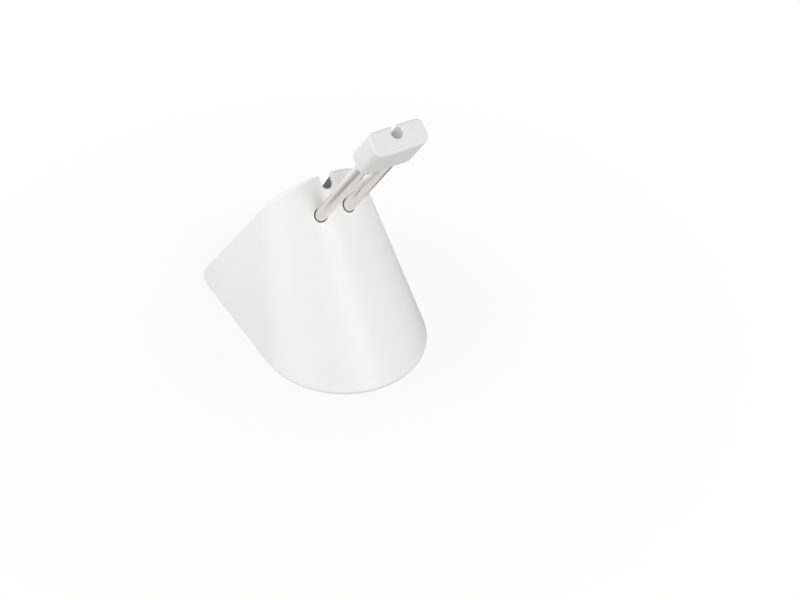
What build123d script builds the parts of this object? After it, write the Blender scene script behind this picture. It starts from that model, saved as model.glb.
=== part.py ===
"""Mouse bungee: a weighted hood that carries a rubber cable clip on two sprung steel rods.

Millimetres. +Z is up, the front faces -Y and the part is mirrored about X = 0. The origin is on the
desk, in the middle of the hood's length.
"""

import os
from math import cos, radians, sin, sqrt, tan

from build123d import *

os.makedirs("parts", exist_ok=True)

# Hood: a round nose that leans back, two flat sides that lean in, a rear face that leans forward
hood_width = 70.4
hood_length = 105.2
nose_length = 37.9
front_lean = 31.8
side_lean = 11.9
rear_lean = 36.9
hood_wall = 2.8
rim_round = 1.0
heel_round = 4.3

# Cable channel: runs down the rear face and shows as a notch in the hood's top edge
channel_width = 5.2
channel_depth = 5.8
channel_wall = 1.8
notch_round = 0.5

# Rear cover: closes the hood's rear opening, a little inside the rim
cover_recess = 1.0
cover_thickness = 2.5

# Spring rods: they lean forward a little more than the rear face, and leave the nose below the top edge
rod_diameter = 5.0
rod_spacing = 12.2
rod_extra_lean = 1.7
rod_foot_drop = 13.4
rod_visible_length = 59.6
rod_inner_length = 46.0
rod_end_chamfer = 0.4
rod_hole_gap = 0.32

# Rod clamp: a saddle on the rear cover and a cap, split along the rods
clamp_flank = 6.9
clamp_length = 24.0
clamp_from_foot = 18.0
clamp_split = 0.8
clamp_cap_thickness = 5.4
clamp_screw_margin = 3.4
clamp_screw_pitch = 13.0
clamp_edge_round = 1.0

# Cable clip: a rubber block across the rod tips, with a keyhole for the cable
clip_side_wall = 2.15
clip_front_wall = 2.1
clip_back_wall = 2.4
clip_height = 19.2
clip_roof = 5.3
clip_front_round = 3.2
clip_back_round = 2.4
clip_edge_round = 1.1
keyhole_diameter = 4.5
keyhole_back_wall = 0.6
keyhole_slit = 2.2
keyhole_lip_round = 0.3

# Base plate and the pad under it
base_recess = 0.4
base_floor = 0.75
pad_thickness = 2.0
pad_seat = 0.8
pad_margin = 5.0
pad_rear_margin = 13.5
pad_corner_round = 6.0

# Ballast block: fills the floor between the screw posts
ballast_height = 9.0
ballast_gap = 2.0
ballast_corner_round = 4.0
ballast_edge_chamfer = 0.6
ballast_screw_pitch = 24.0

# Screws and the posts that take them
screw_diameter = 3.0
screw_head_diameter = 5.5
screw_head_rim = 0.2
screw_recess_width = 0.8
screw_recess_span = 3.0
screw_recess_depth = 0.9
screw_tip_chamfer = 0.75
base_screw_length = 12.0
ballast_screw_length = 8.0
clamp_screw_length = 13.0
clamp_screw_head_height = 2.0
clamp_screw_crown = 1.0
post_diameter = 6.6
hood_post_height = 24.0
front_post_margin = 18.9
side_post_inset = 9.5
side_post_rear_margin = 34.0
cover_post_spacing = 32.0
cover_post_rear_margin = 19.5

# Clearances
moulded_clearance = 0.2
seat_clearance = 0.05
screw_clearance = 0.15
hole_overrun = 0.6

# Sizes and places that several pieces share
rear_y = hood_length / 2
nose_y = -hood_length / 2
screw_radius = screw_diameter / 2
head_radius = screw_head_diameter / 2
countersink = screw_head_rim + head_radius - screw_radius
base_bottom = pad_thickness - pad_seat
base_top = pad_thickness + countersink + base_floor
desk_gap = base_bottom - base_recess
form_height = hood_length / (tan(radians(front_lean)) + tan(radians(rear_lean)))
beyond = hood_length + form_height
rod_lean = rear_lean + rod_extra_lean
rod_foot_height = form_height - rod_foot_drop
rod_radius = rod_diameter / 2
rod_pair_width = rod_spacing + rod_diameter
clamp_width = rod_pair_width + 2 * clamp_flank
clip_width = rod_pair_width + 2 * clip_side_wall
clip_back = rod_radius + clip_back_wall
clip_depth = rod_radius + clip_front_wall + clip_back
clip_socket_depth = clip_height - clip_roof
post_radius = post_diameter / 2
plug_inset = hood_wall + moulded_clearance
cover_inner = cover_recess + cover_thickness


def half_width(height):
    """Half of the hood's outer width, at a height above its lower edge."""
    return hood_width / 2 - height * tan(radians(side_lean))


def nose_tip(height):
    """Where the front ridge is at a height above the lower edge."""
    return nose_y + height * tan(radians(front_lean))


def nose_reach(height):
    """Length of the half-ellipse nose at a height: it keeps its proportion to the width."""
    return nose_length * half_width(height) / half_width(0)


def front_skin(x, height):
    """Where the outer skin of the nose is, off the middle by x, at a height."""
    bow = sqrt(1 - (x / half_width(height)) ** 2)
    return nose_tip(height) + nose_reach(height) * (1 - bow)


def level_section(height, inset):
    """Level section through the hood's form, set in square to the skin and open far behind the rear."""
    half = half_width(height) - inset / cos(radians(side_lean))
    shoulder = nose_tip(height) + nose_reach(height)
    reach = nose_reach(height) - inset / cos(radians(front_lean))
    with BuildSketch(Plane.XY.offset(desk_gap + height)) as section:
        with BuildLine():
            EllipticalCenterArc((0, shoulder), half, reach, 180, arc_size=180)
            Polyline((half, shoulder), (half, beyond), (-half, beyond), (-half, shoulder))
        make_face()
    return section.sketch


def form_sections(inset):
    """Lowest and highest level sections of the hood's form: everything between them is straight."""
    return [level_section(-desk_gap, inset), level_section(form_height + hood_wall, inset)]


def rear_line(height, inset):
    """Where the rear face is at a height above the lower edge, set in square to itself."""
    return rear_y - height * tan(radians(rear_lean)) - inset / cos(radians(rear_lean))


def side_outline(bottom, top, inset):
    """Side view between two levels above the desk, ending at the rear face set in."""
    with BuildSketch(Plane.YZ) as outline:
        with BuildLine():
            Polyline(
                (-beyond, bottom),
                (rear_line(bottom - desk_gap, inset), bottom),
                (rear_line(top - desk_gap, inset), top),
                (-beyond, top),
                close=True,
            )
        make_face()
    return outline.sketch


def heel_edge(form):
    """Edge where the underside meets the rear face."""
    return form.faces().sort_by(Axis.Z)[0].edges().sort_by(Axis.Y)[-1]


# The channel's own plane: local x is X, local y points out of the rear face, it rises along that face
channel_plane = Plane(
    origin=(0, rear_y, desk_gap),
    x_dir=(1, 0, 0),
    z_dir=(0, -sin(radians(rear_lean)), cos(radians(rear_lean))),
)


def channel_section(grow):
    """Round-bottomed section of the cable channel, grown evenly, open to the rear."""
    radius = channel_width / 2 + grow
    floor_centre = channel_width / 2 - channel_depth
    with BuildSketch(channel_plane) as section:
        with Locations((0, floor_centre)):
            Circle(radius)
            Rectangle(2 * radius, 2 * channel_depth, align=(Align.CENTER, Align.MIN))
    return section.sketch


# The rods' own plane: local x is X, local y points to the rear, local z rises along the rods
rod_foot_y = front_skin(rod_spacing / 2, rod_foot_height)
rod_plane = Plane(
    origin=(0, rod_foot_y, desk_gap + rod_foot_height),
    x_dir=(1, 0, 0),
    z_dir=(0, -sin(radians(rod_lean)), cos(radians(rod_lean))),
)
rod_places = [(-rod_spacing / 2, 0), (rod_spacing / 2, 0)]
clamp_plane = rod_plane.offset(-clamp_from_foot - clamp_length)
clamp_middle = clamp_plane.offset(clamp_length / 2)
clip_plane = rod_plane.offset(rod_visible_length)
keyhole_y = clip_back - keyhole_back_wall - keyhole_diameter / 2

# Posts and screws that hold the base plate, and the ballast between the posts
front_post_y = nose_y + front_post_margin
side_post_x = hood_width / 2 - side_post_inset
side_post_y = rear_y - side_post_rear_margin
cover_post_y = rear_y - cover_post_rear_margin
hood_posts = [(0, front_post_y), (side_post_x, side_post_y), (-side_post_x, side_post_y)]
cover_posts = [(cover_post_spacing / 2, cover_post_y), (-cover_post_spacing / 2, cover_post_y)]
ballast_width = 2 * (side_post_x - post_radius - ballast_gap)
ballast_length = cover_post_y - front_post_y - 2 * (post_radius + ballast_gap)
ballast_y = (front_post_y + cover_post_y) / 2
ballast_holes = [(ballast_screw_pitch / 2, ballast_y), (-ballast_screw_pitch / 2, ballast_y)]
base_screw_tip = pad_thickness + base_screw_length
pilot_radius = screw_radius + seat_clearance

# Clamp screws lie along the rod plane's local y, outside the rods
clamp_screw_x = clamp_width / 2 - clamp_screw_margin
clamp_screw_plane = Plane(
    origin=clamp_middle.origin - clamp_middle.y_dir * (clamp_split / 2 + clamp_cap_thickness),
    x_dir=(1, 0, 0),
    z_dir=clamp_middle.y_dir,
)


# Screw posts of the hood, kept clear of the rear cover
with BuildPart() as post_forms:
    with BuildSketch(Plane.XY.offset(base_top)):
        with Locations(*hood_posts):
            Circle(post_radius)
    extrude(amount=hood_post_height)
    post_limit = side_outline(base_top, beyond, cover_inner + moulded_clearance)
    extrude(post_limit, amount=beyond, both=True, mode=Mode.INTERSECT)

# Inside of the hood, with the screw posts left standing in it
with BuildPart() as cavity:
    loft(form_sections(hood_wall), ruled=True)
    add(post_forms.part, mode=Mode.SUBTRACT)

with BuildPart() as hood:
    loft(form_sections(0), ruled=True)
    extrude(side_outline(desk_gap, beyond, 0), amount=beyond, both=True, mode=Mode.INTERSECT)
    fillet(heel_edge(hood), heel_round)
    rims = hood.faces().filter_by(lambda f: f.geom_type in (GeomType.PLANE, GeomType.CYLINDER))
    rims = rims.filter_by(lambda f: round(f.normal_at().X, 2) == 0)
    fillet(rims.edges().filter_by(Axis.X, reverse=True), rim_round)
    extrude(channel_section(0), amount=beyond, both=True, mode=Mode.SUBTRACT)
    fillet(hood.edges(Select.LAST).sort_by(Axis.Y)[0], notch_round)
    add(cavity.part, mode=Mode.SUBTRACT)
    with BuildSketch(rod_plane):
        with Locations(*rod_places):
            Circle(rod_radius + rod_hole_gap)
    extrude(amount=2 * rod_diameter, both=True, mode=Mode.SUBTRACT)
    with BuildSketch(Plane.XY.offset(base_top)):
        with Locations(*hood_posts):
            Circle(pilot_radius)
    extrude(amount=base_screw_tip + hole_overrun - base_top, mode=Mode.SUBTRACT)

# Space in front of the rear cover, around its channel wall, its screw posts and the rods' saddle
with BuildPart() as cover_hollow:
    extrude(side_outline(-beyond, beyond, cover_inner), amount=beyond, both=True)
    extrude(channel_section(channel_wall), amount=beyond, both=True, mode=Mode.SUBTRACT)
    with BuildSketch(Plane.XY.offset(base_top)):
        with Locations(*cover_posts):
            Circle(post_radius)
    extrude(amount=form_height, mode=Mode.SUBTRACT)
    with BuildSketch(clamp_plane):
        with Locations((0, clamp_split / 2)):
            Rectangle(clamp_width, beyond, align=(Align.CENTER, Align.MIN))
    extrude(amount=clamp_length, mode=Mode.SUBTRACT)

# Form that fits in the hood and follows its heel: the rear cover and the base plate are cut from it
with BuildPart() as plug_form:
    loft(form_sections(plug_inset), ruled=True)
    extrude(side_outline(base_bottom, beyond, cover_recess), amount=beyond, both=True, mode=Mode.INTERSECT)
    fillet(heel_edge(plug_form), max(heel_round - cover_recess, rim_round))

with BuildPart() as rear_cover:
    add(plug_form.part)
    add(cover_hollow.part, mode=Mode.SUBTRACT)
    extrude(channel_section(0), amount=beyond, both=True, mode=Mode.SUBTRACT)
    with BuildSketch(clamp_plane):
        with Locations(*rod_places):
            Circle(rod_radius + seat_clearance)
    extrude(amount=clamp_length, mode=Mode.SUBTRACT)
    with BuildSketch(Plane.XY.offset(base_top)):
        with Locations(*cover_posts):
            Circle(pilot_radius)
    extrude(amount=base_screw_tip + hole_overrun - base_top, mode=Mode.SUBTRACT)
    with BuildSketch(clamp_screw_plane):
        with GridLocations(2 * clamp_screw_x, clamp_screw_pitch, 2, 2):
            Circle(pilot_radius)
    extrude(amount=clamp_screw_length + hole_overrun, mode=Mode.SUBTRACT)

with BuildPart() as rod_clamp:
    with BuildSketch(clamp_plane):
        with Locations((0, -clamp_split / 2)):
            Rectangle(clamp_width, clamp_cap_thickness, align=(Align.CENTER, Align.MAX))
    extrude(amount=clamp_length)
    fillet(rod_clamp.edges().filter_by(Axis((0, 0, 0), clamp_screw_plane.z_dir)), clamp_edge_round)
    with BuildSketch(clamp_plane):
        with Locations(*rod_places):
            Circle(rod_radius + seat_clearance)
    extrude(amount=clamp_length, mode=Mode.SUBTRACT)
    with BuildSketch(clamp_screw_plane):
        with GridLocations(2 * clamp_screw_x, clamp_screw_pitch, 2, 2):
            Circle(screw_radius + screw_clearance)
    extrude(amount=clamp_cap_thickness, mode=Mode.SUBTRACT)

rods = []
for place in rod_places:
    with BuildPart() as rod:
        with BuildSketch(rod_plane.offset(-rod_inner_length)):
            with Locations(place):
                Circle(rod_radius)
        extrude(amount=rod_inner_length + rod_visible_length + clip_socket_depth)
        chamfer(rod.edges().filter_by(GeomType.CIRCLE), rod_end_chamfer)
    rods.append(rod)
left_rod, right_rod = rods

with BuildPart() as cable_clip:
    with BuildSketch(clip_plane) as clip_section:
        with Locations((0, clip_back)):
            Rectangle(clip_width, clip_depth, align=(Align.CENTER, Align.MAX))
        fillet(clip_section.vertices().group_by(Axis.Y)[0], clip_front_round)
        fillet(clip_section.vertices().group_by(Axis.Y)[-1], clip_back_round)
    extrude(amount=clip_height)
    end_faces = cable_clip.faces().filter_by(Axis((0, 0, 0), clip_plane.z_dir))
    fillet(end_faces.edges(), clip_edge_round)
    with BuildSketch(clip_plane) as keyhole:
        with Locations((0, keyhole_y)):
            Circle(keyhole_diameter / 2)
            Rectangle(keyhole_slit, clip_depth, align=(Align.CENTER, Align.MIN))
        with Locations((0, clip_back)):
            Rectangle(clip_width, clip_depth, align=(Align.CENTER, Align.MIN))
        lips = keyhole.vertices().filter_by(lambda v: round(abs(v.X) - keyhole_slit / 2, 2) == 0)
        fillet(lips, keyhole_lip_round)
    extrude(amount=clip_height, mode=Mode.SUBTRACT)
    for end, inwards in ((clip_plane, 1), (clip_plane.offset(clip_height), -1)):
        with BuildSketch(end):
            with Locations((0, keyhole_y)):
                Circle(keyhole_diameter / 2 + keyhole_lip_round)
        extrude(amount=inwards * keyhole_lip_round, taper=45, mode=Mode.SUBTRACT)
    with BuildSketch(clip_plane):
        with Locations(*rod_places):
            Circle(rod_radius + seat_clearance)
    extrude(amount=clip_socket_depth + seat_clearance, mode=Mode.SUBTRACT)


def pad_outline(grow):
    """Plan of the anti-slip pad, grown evenly."""
    half = hood_width / 2 - pad_margin + grow
    reach = nose_length - pad_margin + grow
    shoulder = nose_y + nose_length
    back = rear_y - pad_rear_margin + grow
    with BuildSketch() as outline:
        with BuildLine():
            EllipticalCenterArc((0, shoulder), half, reach, 180, arc_size=180)
            Polyline((half, shoulder), (half, back), (-half, back), (-half, shoulder))
        make_face()
        fillet(outline.vertices().group_by(Axis.Y)[-1], pad_corner_round)
    return outline.sketch


with BuildPart() as base_plate:
    add(plug_form.part)
    base_outline = side_outline(-beyond, base_top, cover_inner + moulded_clearance)
    extrude(base_outline, amount=beyond, both=True, mode=Mode.INTERSECT)
    extrude(channel_section(channel_wall + moulded_clearance), amount=beyond, both=True, mode=Mode.SUBTRACT)
    extrude(pad_outline(moulded_clearance), amount=pad_thickness, mode=Mode.SUBTRACT)
    with Locations(*[(x, y, pad_thickness) for x, y in hood_posts + cover_posts + ballast_holes]):
        Cylinder(
            screw_radius + screw_clearance,
            base_top - pad_thickness,
            align=(Align.CENTER, Align.CENTER, Align.MIN),
            mode=Mode.SUBTRACT,
        )
        Cone(
            screw_radius + countersink + screw_clearance,
            screw_radius + screw_clearance,
            countersink,
            align=(Align.CENTER, Align.CENTER, Align.MIN),
            mode=Mode.SUBTRACT,
        )

with BuildPart() as anti_slip_pad:
    extrude(pad_outline(0), amount=pad_thickness)

with BuildPart() as ballast_block:
    with BuildSketch(Plane.XY.offset(base_top)):
        with Locations((0, ballast_y)):
            RectangleRounded(ballast_width, ballast_length, ballast_corner_round)
    extrude(amount=ballast_height)
    chamfer(ballast_block.faces().sort_by(Axis.Z)[-1].edges(), ballast_edge_chamfer)
    with BuildSketch(Plane.XY.offset(base_top)):
        with Locations(*ballast_holes):
            Circle(pilot_radius)
    extrude(amount=ballast_height, mode=Mode.SUBTRACT)


def cross_recess(plane):
    """Plan of the driver recess in a screw head."""
    with BuildSketch(plane) as recess:
        Rectangle(screw_recess_span, screw_recess_width)
        Rectangle(screw_recess_width, screw_recess_span)
    return recess.sketch


def countersunk_screw(length):
    """Countersunk screw standing on its head at the origin."""
    with BuildPart() as screw:
        with BuildSketch(Plane.XZ):
            with BuildLine():
                Polyline(
                    (0, 0),
                    (head_radius, 0),
                    (head_radius, screw_head_rim),
                    (screw_radius, countersink),
                    (screw_radius, length - screw_tip_chamfer),
                    (screw_radius - screw_tip_chamfer, length),
                    (0, length),
                    close=True,
                )
            make_face()
        revolve(axis=Axis.Z)
        extrude(cross_recess(Plane.XY), amount=screw_recess_depth, mode=Mode.SUBTRACT)
    return screw.part


def pan_head_screw(length):
    """Pan-head screw with its shank up from the origin and its head below."""
    with BuildPart() as screw:
        with BuildSketch(Plane.XZ):
            with BuildLine():
                Polyline(
                    (0, -clamp_screw_head_height),
                    (head_radius, -clamp_screw_head_height),
                    (head_radius, 0),
                    (screw_radius, 0),
                    (screw_radius, length - screw_tip_chamfer),
                    (screw_radius - screw_tip_chamfer, length),
                    (0, length),
                    close=True,
                )
            make_face()
        revolve(axis=Axis.Z)
        crown = screw.faces().sort_by(Axis.Z)[0].edges()
        fillet(crown, clamp_screw_crown)
        top = Plane.XY.offset(-clamp_screw_head_height)
        extrude(cross_recess(top), amount=screw_recess_depth, mode=Mode.SUBTRACT)
    return screw.part


with BuildPart() as base_screws:
    with Locations(*[(x, y, pad_thickness) for x, y in hood_posts + cover_posts]):
        add(countersunk_screw(base_screw_length))

with BuildPart() as ballast_screws:
    with Locations(*[(x, y, pad_thickness) for x, y in ballast_holes]):
        add(countersunk_screw(ballast_screw_length))

with BuildPart(clamp_screw_plane) as clamp_screws:
    with GridLocations(2 * clamp_screw_x, clamp_screw_pitch, 2, 2):
        add(pan_head_screw(clamp_screw_length))

pieces = {
    "hood": hood,
    "rear_cover": rear_cover,
    "rod_clamp": rod_clamp,
    "clamp_screws": clamp_screws,
    "left_rod": left_rod,
    "right_rod": right_rod,
    "cable_clip": cable_clip,
    "base_plate": base_plate,
    "base_screws": base_screws,
    "ballast_block": ballast_block,
    "ballast_screws": ballast_screws,
    "anti_slip_pad": anti_slip_pad,
}
for name, piece in pieces.items():
    piece.part.label = name
    export_step(piece.part, f"parts/{name}.step")
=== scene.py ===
"""Looks of the mouse bungee: finishes, fine detail, a pale studio and the camera.

Metres. +Z is up, the front faces -Y and the part is mirrored about X = 0.
"""

import math

import bmesh
import bpy
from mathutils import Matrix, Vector


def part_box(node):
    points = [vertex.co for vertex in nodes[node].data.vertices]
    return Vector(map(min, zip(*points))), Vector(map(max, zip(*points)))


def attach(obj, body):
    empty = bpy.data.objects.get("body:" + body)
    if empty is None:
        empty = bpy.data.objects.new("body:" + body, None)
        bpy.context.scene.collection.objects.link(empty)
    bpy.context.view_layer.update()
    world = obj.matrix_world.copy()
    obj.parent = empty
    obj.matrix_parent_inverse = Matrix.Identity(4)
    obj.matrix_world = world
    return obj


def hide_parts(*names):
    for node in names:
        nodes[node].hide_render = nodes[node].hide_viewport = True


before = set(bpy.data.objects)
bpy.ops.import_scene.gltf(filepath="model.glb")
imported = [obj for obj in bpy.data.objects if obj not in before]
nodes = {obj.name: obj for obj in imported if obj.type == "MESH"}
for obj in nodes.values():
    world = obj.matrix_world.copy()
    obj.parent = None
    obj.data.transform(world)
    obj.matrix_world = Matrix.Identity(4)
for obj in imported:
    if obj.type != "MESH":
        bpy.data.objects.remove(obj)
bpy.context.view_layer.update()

MM = 0.001
scene = bpy.context.scene

# Camera: in front of the part and to its left, looking down on it
PHOTO_WIDTH_PX = 800
CAMERA_FOCAL_PX = 1400.52
CAMERA_EYE = Vector((-205.07, -404.67, 390.05)) * MM
CAMERA_AZIMUTH = math.radians(-30.889)
CAMERA_ELEVATION = math.radians(40.087)

# Light: what the white surroundings give, and soft lamps with their place, width and height, and watts
WHITE = (1.0, 1.0, 1.0, 1.0)
WORLD_LIGHT = 0.4
LAMP_TARGET = Vector((0.0, 0.0, 0.05))
LAMPS = (
    ("front_lamp", (0.0, -1.1, 0.45), (0.5, 0.4), 3.75),
    ("front_strip", (-0.15, -1.1, 0.45), (1.4, 0.4), 2.5),
    ("left_lamp", (-1.0, 0.5, 0.6), (1.2, 1.2), 11.4),
    ("right_lamp", (0.95, -0.45, 0.5), (0.9, 0.9), 2.3),
)

# Floor: it turns from lit to white between two distances from its middle, one pair for the camera, which sees
# some white at the middle too, and one for reflections
FLOOR_RADIUS = 4.0
FLOOR_SIDES = 96
FLOOR_DARK = (0.46, 0.46, 0.46, 1.0)
FLOOR_LIGHT = (0.51, 0.51, 0.51, 1.0)
FLOOR_FADE = (0.05, 0.2)
FLOOR_MIDDLE_WHITE = 0.93
FLOOR_MIRRORED_FADE = (0.06, 0.14)

# Rods: their lean, and the scale of their ground lines and wider bands, twice across and once along the rod
ROD_LEAN = math.radians(38.6)
ROD_LINES = (160, 160, 8000)
ROD_BANDS = (60, 60, 900)
ROD_LINE_SHARE = 0.65

# Tread of the anti-slip pad: staggered rows of small round pips under a thinner sheet
PIP_PITCH = 3.4 * MM
PIP_ROW_SHARE = math.sqrt(3) / 2
PIP_RADIUS = 1.15 * MM
PIP_TIP_RADIUS = 0.9 * MM
PIP_HEIGHT = 0.6 * MM
PIP_SIDES = 14
PIP_ROOT = 0.1 * MM

# Sheet of the pad: edges past an angle in radians are eased, and faces with a nearly level normal are walls
PAD_RIM = 2.0 * MM
PAD_EDGE_BEVEL = 0.25 * MM
PAD_WELD_DISTANCE = 0.001 * MM
PAD_SHARP_ANGLE = 1.0
PAD_WALL_TILT = 0.5
PAD_PROBE_LENGTH = 10 * MM


class Socket:
    """An output of a node, so that maths between nodes is written as plain expressions."""

    def __init__(self, tree, output):
        self.tree = tree
        self.output = output

    def maths(self, operation, first, second):
        return self.tree.node("ShaderNodeMath", {"operation": operation}, {0: first, 1: second})

    def __add__(self, other):
        return self.maths("ADD", self, other)

    __radd__ = __add__

    def __sub__(self, other):
        return self.maths("SUBTRACT", self, other)

    def __rsub__(self, other):
        return self.maths("SUBTRACT", other, self)

    def __mul__(self, other):
        return self.maths("MULTIPLY", self, other)

    __rmul__ = __mul__

    def __lt__(self, other):
        return self.maths("LESS_THAN", self, other)

    def __mod__(self, other):
        return self.maths("FLOORED_MODULO", self, other)


class NodeTree:
    """A tree of shader or geometry nodes."""

    def __init__(self, tree):
        self.tree = tree
        self.tree.nodes.clear()

    def node(self, kind, settings=None, sockets=None, output=0):
        """Adds a node and gives one of its outputs.

        The settings come first, then each socket gets a value, a link or a list of links.
        """
        made = self.tree.nodes.new(kind)
        for name, value in (settings or {}).items():
            setattr(made, name, value)
        for name, value in (sockets or {}).items():
            for item in value if isinstance(value, list) else [value]:
                if isinstance(item, Socket):
                    self.tree.links.new(item.output, made.inputs[name])
                else:
                    made.inputs[name].default_value = item
        return Socket(self, made.outputs[output]) if made.outputs else None


class Finish(NodeTree):
    """One material, or the world, and the ways to add shader nodes to it."""

    def __init__(self, owner):
        owner.use_nodes = True
        self.owner = owner
        super().__init__(owner.node_tree)

    def place(self, turn=(0, 0, 0), scale=(1, 1, 1)):
        """The surface's own place on the part, turned and scaled for a pattern."""
        coordinates = self.node("ShaderNodeTexCoord", output="Object")
        sockets = {"Vector": coordinates, "Rotation": turn, "Scale": scale}
        return self.node("ShaderNodeMapping", {"vector_type": "POINT"}, sockets)

    def noise(self, place, scale, detail=2.0, roughness=0.5):
        sockets = {"Vector": place, "Scale": scale, "Detail": detail, "Roughness": roughness}
        return self.node("ShaderNodeTexNoise", {"noise_dimensions": "3D"}, sockets)

    def grain(self, place, scale):
        """Noise with finer detail in it."""
        return self.noise(place, scale, detail=3.0, roughness=0.6)

    def ramp(self, value, start, end, low=0.0):
        """A mask that goes from low at the start to 1 at the end."""
        return self.node("ShaderNodeMapRange", None, {
            "Value": value, "From Min": start, "From Max": end, "To Min": low, "To Max": 1.0,
        })

    def mix(self, factor, first, second):
        """A colour between two others."""
        return self.node("ShaderNodeMix", {"data_type": "RGBA"}, {0: factor, 6: first, 7: second}, output=2)

    def bump(self, height, strength, distance):
        sockets = {"Height": height, "Strength": strength, "Distance": distance}
        return self.node("ShaderNodeBump", None, sockets)

    def surface(self, sockets):
        """Ends a material in one all-round shader."""
        shader = self.node("ShaderNodeBsdfPrincipled", None, sockets)
        self.node("ShaderNodeOutputMaterial", None, {"Surface": shader})
        return self.owner


class Pattern(NodeTree):
    """A geometry tree with named sizes, which is grown from a mesh and left as a plain mesh."""

    def __init__(self, name):
        super().__init__(bpy.data.node_groups.new(name, "GeometryNodeTree"))
        for direction in ("INPUT", "OUTPUT"):
            self.tree.interface.new_socket("Geometry", in_out=direction, socket_type="NodeSocketGeometry")
        self.start = self.node("NodeGroupInput", output="Geometry")
        self.sizes = {}

    def size(self, name, value, kind="NodeSocketFloat"):
        """A named input and the value that it is grown with."""
        item = self.tree.interface.new_socket(name, in_out="INPUT", socket_type=kind)
        self.sizes[item.identifier] = value
        return self.node("NodeGroupInput", output=name)

    def vector(self, x=0.0, y=0.0, z=0.0):
        return self.node("ShaderNodeCombineXYZ", None, {"X": x, "Y": y, "Z": z})

    def end(self, parts, material):
        """Joins the parts, realizes what was repeated and gives all of it one finish."""
        joined = self.node("GeometryNodeJoinGeometry", None, {"Geometry": parts})
        realized = self.node("GeometryNodeRealizeInstances", None, {"Geometry": joined})
        dressed = self.node("GeometryNodeSetMaterial", None, {"Geometry": realized, "Material": material})
        self.node("NodeGroupOutput", None, {"Geometry": dressed})

    def grow(self, name, mesh):
        """Runs the tree on a mesh and gives a new object that holds the result."""
        piece = bpy.data.objects.new(name, mesh)
        scene.collection.objects.link(piece)
        modifier = piece.modifiers.new(name, "NODES")
        modifier.node_group = self.tree
        for identifier, value in self.sizes.items():
            modifier[identifier] = value
        bpy.context.view_layer.update()
        evaluated = piece.evaluated_get(bpy.context.evaluated_depsgraph_get())
        result = bpy.data.meshes.new_from_object(evaluated)
        piece.modifiers.remove(modifier)
        piece.data = result
        result.name = name
        return piece


def new_finish(name):
    return Finish(bpy.data.materials.new(name))


def satin_white_plastic():
    """White moulding with a fine spark-eroded grain and a soft sheen."""
    finish = new_finish("satin_white_plastic")
    place = finish.place()
    grain = finish.grain(place, scale=2600.0)
    flow = finish.noise(place, scale=22.0)
    return finish.surface({
        "Base Color": finish.mix(flow, (0.845, 0.845, 0.848, 1), (0.875, 0.875, 0.876, 1)),
        "Roughness": 0.36 + 0.1 * grain,
        "Specular IOR Level": 0.5,
        "Normal": finish.bump(grain, strength=0.12, distance=0.05 * MM),
    })


def white_clip_rubber():
    """Soft white rubber, matt, with a faint mottle."""
    finish = new_finish("white_clip_rubber")
    place = finish.place()
    grain = finish.grain(place, scale=3400.0)
    mottle = finish.noise(place, scale=160.0)
    return finish.surface({
        "Base Color": finish.mix(mottle, (0.815, 0.805, 0.812, 1), (0.85, 0.84, 0.848, 1)),
        "Roughness": 0.52 + 0.12 * grain,
        "Specular IOR Level": 0.35,
        "Normal": finish.bump(grain, strength=0.16, distance=0.05 * MM),
    })


def ground_spring_steel():
    """Warm bright steel, ground round its axis, so that fine lines run across each rod."""
    finish = new_finish("ground_spring_steel")
    turn = (ROD_LEAN, 0, 0)
    lines = finish.grain(finish.place(turn, ROD_LINES), scale=1.0)
    bands = finish.noise(finish.place(turn, ROD_BANDS), scale=1.0)
    shade = ROD_LINE_SHARE * lines + (1 - ROD_LINE_SHARE) * bands
    return finish.surface({
        "Base Color": finish.mix(shade, (0.7, 0.69, 0.65, 1), (0.86, 0.85, 0.805, 1)),
        "Metallic": 1.0,
        "Roughness": 0.12 + 0.1 * shade,
        "Normal": finish.bump(lines, strength=1.0, distance=0.013 * MM),
    })


def matt_moulding(name, dark, light, roughness):
    """Plain moulded plastic or rubber with an even grain."""
    finish = new_finish(name)
    place = finish.place()
    grain = finish.grain(place, scale=1900.0)
    flow = finish.noise(place, scale=45.0)
    return finish.surface({
        "Base Color": finish.mix(flow, dark, light),
        "Roughness": roughness + 0.12 * grain,
        "Normal": finish.bump(grain, strength=0.2, distance=0.06 * MM),
    })


def cast_iron():
    """Bare casting with a rough skin."""
    finish = new_finish("cast_iron")
    place = finish.place()
    skin = finish.noise(place, scale=900.0, detail=5.0, roughness=0.65)
    stain = finish.noise(place, scale=70.0, detail=3.0)
    return finish.surface({
        "Base Color": finish.mix(stain, (0.09, 0.088, 0.086, 1), (0.17, 0.165, 0.16, 1)),
        "Metallic": 0.6,
        "Roughness": 0.55 + 0.25 * skin,
        "Normal": finish.bump(skin, strength=0.5, distance=0.15 * MM),
    })


def zinc_plate():
    """Plated screw steel with a slight mottle."""
    finish = new_finish("zinc_plate")
    place = finish.place()
    mottle = finish.noise(place, scale=700.0, detail=3.0)
    fine = finish.noise(place, scale=5200.0)
    return finish.surface({
        "Base Color": finish.mix(mottle, (0.52, 0.53, 0.55, 1), (0.7, 0.7, 0.71, 1)),
        "Metallic": 1.0,
        "Roughness": 0.24 + 0.18 * mottle,
        "Normal": finish.bump(fine, strength=0.15, distance=0.03 * MM),
    })


def dress(material, *names):
    """Gives CAD nodes a finish."""
    for name in names:
        mesh = nodes[name].data
        mesh.materials.clear()
        mesh.materials.append(material)


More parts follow.
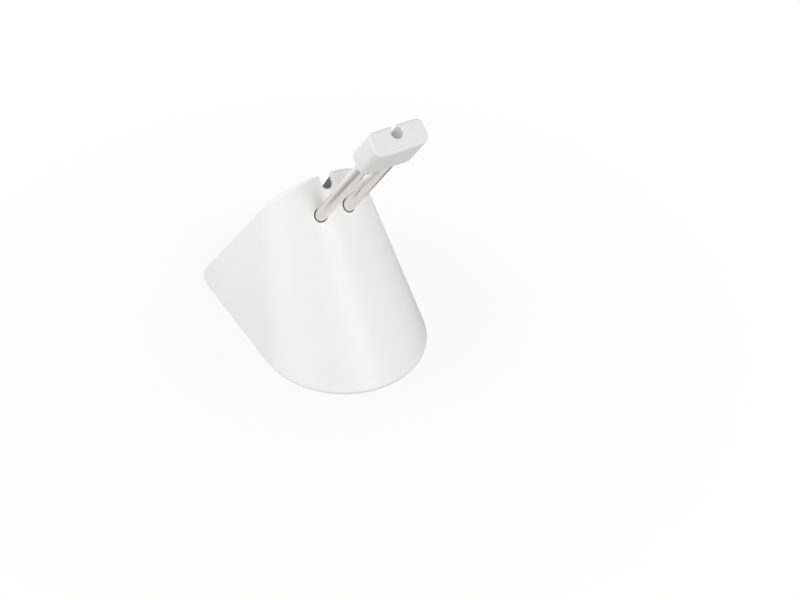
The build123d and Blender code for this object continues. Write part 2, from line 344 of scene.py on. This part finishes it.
def pad_sheet():
    """A copy of the pad's mesh, its underside raised to the roots of the pips and its lower edge eased."""
    mesh = nodes["anti_slip_pad"].data.copy()
    shape = bmesh.new()
    shape.from_mesh(mesh)
    bmesh.ops.remove_doubles(shape, verts=shape.verts, dist=PAD_WELD_DISTANCE)
    for vertex in shape.verts:
        vertex.co.z = max(vertex.co.z, PIP_HEIGHT)
    lowest = [v for v in shape.verts if v.co.z < PIP_HEIGHT + PIP_ROOT]
    sharp = [e for e in shape.edges if e.calc_face_angle(0.0) > PAD_SHARP_ANGLE]
    rim = [e for e in sharp if all(v in lowest for v in e.verts)]
    bmesh.ops.bevel(shape, geom=rim, offset=PAD_EDGE_BEVEL, segments=2, affect="EDGES", profile=0.5)
    shape.to_mesh(mesh)
    shape.free()
    return mesh


def make_pad_tread(rubber):
    """The anti-slip pad with its tread: staggered rows of pips, kept off the rim."""
    low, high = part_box("anti_slip_pad")
    middle = (low + high) / 2
    column_count = math.ceil((high.x - low.x) / PIP_PITCH)
    row_count = math.ceil((high.y - low.y) / (PIP_PITCH * PIP_ROW_SHARE))
    tread = Pattern("pad_tread")
    pitch = tread.size("Pitch", PIP_PITCH)
    columns = tread.size("Columns", column_count, "NodeSocketInt")
    rows = tread.size("Rows", row_count, "NodeSocketInt")
    height = tread.size("Height", PIP_HEIGHT)
    radius = tread.size("Radius", PIP_RADIUS)
    tip_radius = tread.size("Tip Radius", PIP_TIP_RADIUS)
    rim = tread.size("Rim", PAD_RIM)

    # A grid under the pad, with every second row moved by half a pitch
    grid = tread.node("GeometryNodeMeshGrid", None, {
        "Size X": (columns - 1) * pitch,
        "Size Y": (rows - 1) * (pitch * PIP_ROW_SHARE),
        "Vertices X": columns,
        "Vertices Y": rows,
    })
    index = tread.node("GeometryNodeInputIndex")
    stagger = (index % rows % 2) * pitch * 0.5
    moved = tread.vector(stagger + middle.x, middle.y, height + PIP_ROOT)
    grid = tread.node("GeometryNodeSetPosition", None, {"Geometry": grid, "Offset": moved})

    # Points that aren't under the pad, or are too near its walls, go
    normal = tread.node("GeometryNodeInputNormal", output="Normal")
    upright = tread.node("ShaderNodeSeparateXYZ", None, {"Vector": normal}, output="Z")
    walls = tread.node("GeometryNodeSeparateGeometry", {"domain": "FACE"}, {
        "Geometry": tread.start, "Selection": upright * upright < PAD_WALL_TILT ** 2,
    })
    to_walls = tread.node(
        "GeometryNodeProximity", {"target_element": "FACES"}, {"Target": walls}, output="Distance",
    )
    under_pad = tread.node("GeometryNodeRaycast", None, {
        "Target Geometry": tread.start, "Ray Direction": (0.0, 0.0, 1.0), "Ray Length": PAD_PROBE_LENGTH,
    }, output="Is Hit")
    grid = tread.node("GeometryNodeDeleteGeometry", {"domain": "POINT"}, {
        "Geometry": grid, "Selection": 1 - under_pad * (1 - (to_walls < rim)),
    })

    pip = tread.node("GeometryNodeMeshCone", {"fill_type": "NGON"}, {
        "Vertices": PIP_SIDES, "Radius Top": tip_radius, "Radius Bottom": radius, "Depth": height + PIP_ROOT,
    }, output="Mesh")
    pips = tread.node("GeometryNodeInstanceOnPoints", None, {
        "Points": grid, "Instance": pip, "Rotation": (math.pi, 0.0, 0.0),
    })
    tread.end([tread.start, pips], rubber)
    pad = tread.grow("pad_tread", pad_sheet())
    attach(pad, "root")
    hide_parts("anti_slip_pad")


def seen_rays(finish):
    """Two masks: 1 on rays of the camera, and 1 on rays of reflections and of clear materials."""
    kinds = ("Camera", "Glossy", "Transmission")
    camera, glossy, clear = (finish.node("ShaderNodeLightPath", output=f"Is {kind} Ray") for kind in kinds)
    return camera, glossy + clear


def make_world():
    """Even soft light from all round, in front of a white background."""
    world = bpy.data.worlds.new("studio")
    scene.world = world
    finish = Finish(world)
    camera, mirrored = seen_rays(finish)
    strength = WORLD_LIGHT + (1 - WORLD_LIGHT) * (camera + mirrored)
    background = finish.node("ShaderNodeBackground", None, {"Color": WHITE, "Strength": strength})
    finish.node("ShaderNodeOutputWorld", None, {"Surface": background})


def make_floor():
    """A pale floor that keeps the part's shadow and fades to white further out."""
    bpy.ops.mesh.primitive_circle_add(vertices=FLOOR_SIDES, radius=FLOOR_RADIUS, fill_type="NGON")
    floor = bpy.context.object
    floor.name = "floor"
    finish = new_finish("floor")
    place = finish.node("ShaderNodeTexCoord", output="Object")
    distance = finish.node("ShaderNodeVectorMath", {"operation": "LENGTH"}, {0: place}, output="Value")
    camera, mirrored = seen_rays(finish)
    white_seen = finish.ramp(distance, *FLOOR_FADE, low=FLOOR_MIDDLE_WHITE) * camera
    white_mirrored = finish.ramp(distance, *FLOOR_MIRRORED_FADE) * mirrored
    speckle = finish.noise(place, scale=400.0, detail=3.0)
    colour = finish.mix(speckle, FLOOR_DARK, FLOOR_LIGHT)
    lit = finish.node("ShaderNodeBsdfDiffuse", None, {"Color": colour})
    white = finish.node("ShaderNodeEmission", None, {"Color": WHITE, "Strength": 1.0})
    shader = finish.node("ShaderNodeMixShader", None, {0: white_seen + white_mirrored, 1: lit, 2: white})
    finish.node("ShaderNodeOutputMaterial", None, {"Surface": shader})
    floor.data.materials.append(finish.owner)


def make_lamp(name, place, size, power):
    """A flat soft lamp that points at the part."""
    data = bpy.data.lights.new(name, "AREA")
    data.shape = "RECTANGLE"
    data.size, data.size_y = size
    data.energy = power
    lamp = bpy.data.objects.new(name, data)
    lamp.location = place
    lamp.rotation_mode = "QUATERNION"
    lamp.rotation_quaternion = (LAMP_TARGET - Vector(place)).to_track_quat("-Z", "Y")
    scene.collection.objects.link(lamp)


def make_camera():
    data = bpy.data.cameras.new("camera")
    data.lens = CAMERA_FOCAL_PX / PHOTO_WIDTH_PX * data.sensor_width
    camera = bpy.data.objects.new("camera", data)
    level = math.cos(CAMERA_ELEVATION)
    ahead = Vector((
        -math.sin(CAMERA_AZIMUTH) * level,
        math.cos(CAMERA_AZIMUTH) * level,
        -math.sin(CAMERA_ELEVATION),
    ))
    camera.location = CAMERA_EYE
    camera.rotation_mode = "QUATERNION"
    camera.rotation_quaternion = ahead.to_track_quat("-Z", "Y")
    scene.collection.objects.link(camera)
    scene.camera = camera


scene.view_settings.view_transform = "Standard"
make_camera()
make_world()
make_floor()
for lamp in LAMPS:
    make_lamp(*lamp)

# Dark grey moulding for the rear cover and the base plate. On the rear cover this dark grey is painted shade:
# it makes the cable channel seen through the top notch dark, where the darkness is shade in that channel.
notch_shade_dark_grey = matt_moulding(
    "notch_shade_dark_grey_moulding", dark=(0.14, 0.14, 0.144, 1), light=(0.165, 0.165, 0.17, 1), roughness=0.5,
)
pad_black = matt_moulding(
    "black_pad_rubber", dark=(0.02, 0.02, 0.02, 1), light=(0.035, 0.035, 0.036, 1), roughness=0.7,
)
nylon_black = matt_moulding(
    "black_nylon", dark=(0.022, 0.022, 0.024, 1), light=(0.04, 0.04, 0.042, 1), roughness=0.42,
)
dress(satin_white_plastic(), "hood")
dress(white_clip_rubber(), "cable_clip")
dress(ground_spring_steel(), "left_rod", "right_rod")
# The rear cover's dark grey is painted shade for the shaded cable channel seen through the notch; the hidden
# base plate shares the same dark grey.
dress(notch_shade_dark_grey, "rear_cover", "base_plate")
dress(nylon_black, "rod_clamp")
dress(cast_iron(), "ballast_block")
dress(zinc_plate(), "clamp_screws", "base_screws", "ballast_screws")
make_pad_tread(pad_black)
